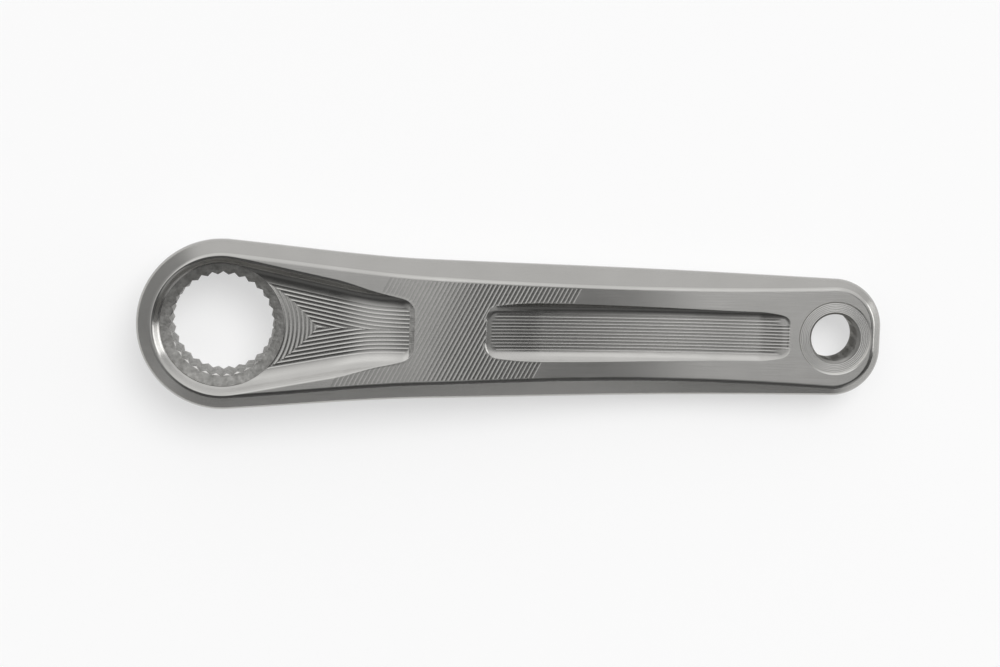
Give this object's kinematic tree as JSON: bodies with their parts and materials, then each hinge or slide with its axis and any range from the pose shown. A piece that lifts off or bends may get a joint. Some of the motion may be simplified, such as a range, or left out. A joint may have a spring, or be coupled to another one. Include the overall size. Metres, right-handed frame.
{
  "type": "bicycle crank arm",
  "caption": "Machined aluminium crank arm with a splined spindle bore at the wide end, a threaded pedal hole at the narrow end and shallow pockets milled along its outer face.",
  "frame": {"origin": "on the spindle axis, at the inner face of the spindle end", "axes": "+Z along the spindle axis from the inner face to the outer face, +X along the arm from the spindle axis to the pedal axis, +Y across the arm"},
  "size_m": [0.2064, 0.0468, 0.0205],
  "materials": {
    "machined_aluminium": "machined and polished, clear anodised"
  },
  "bodies": {
    "root": {"crank_arm": "machined_aluminium"}
  },
  "joints": []
}
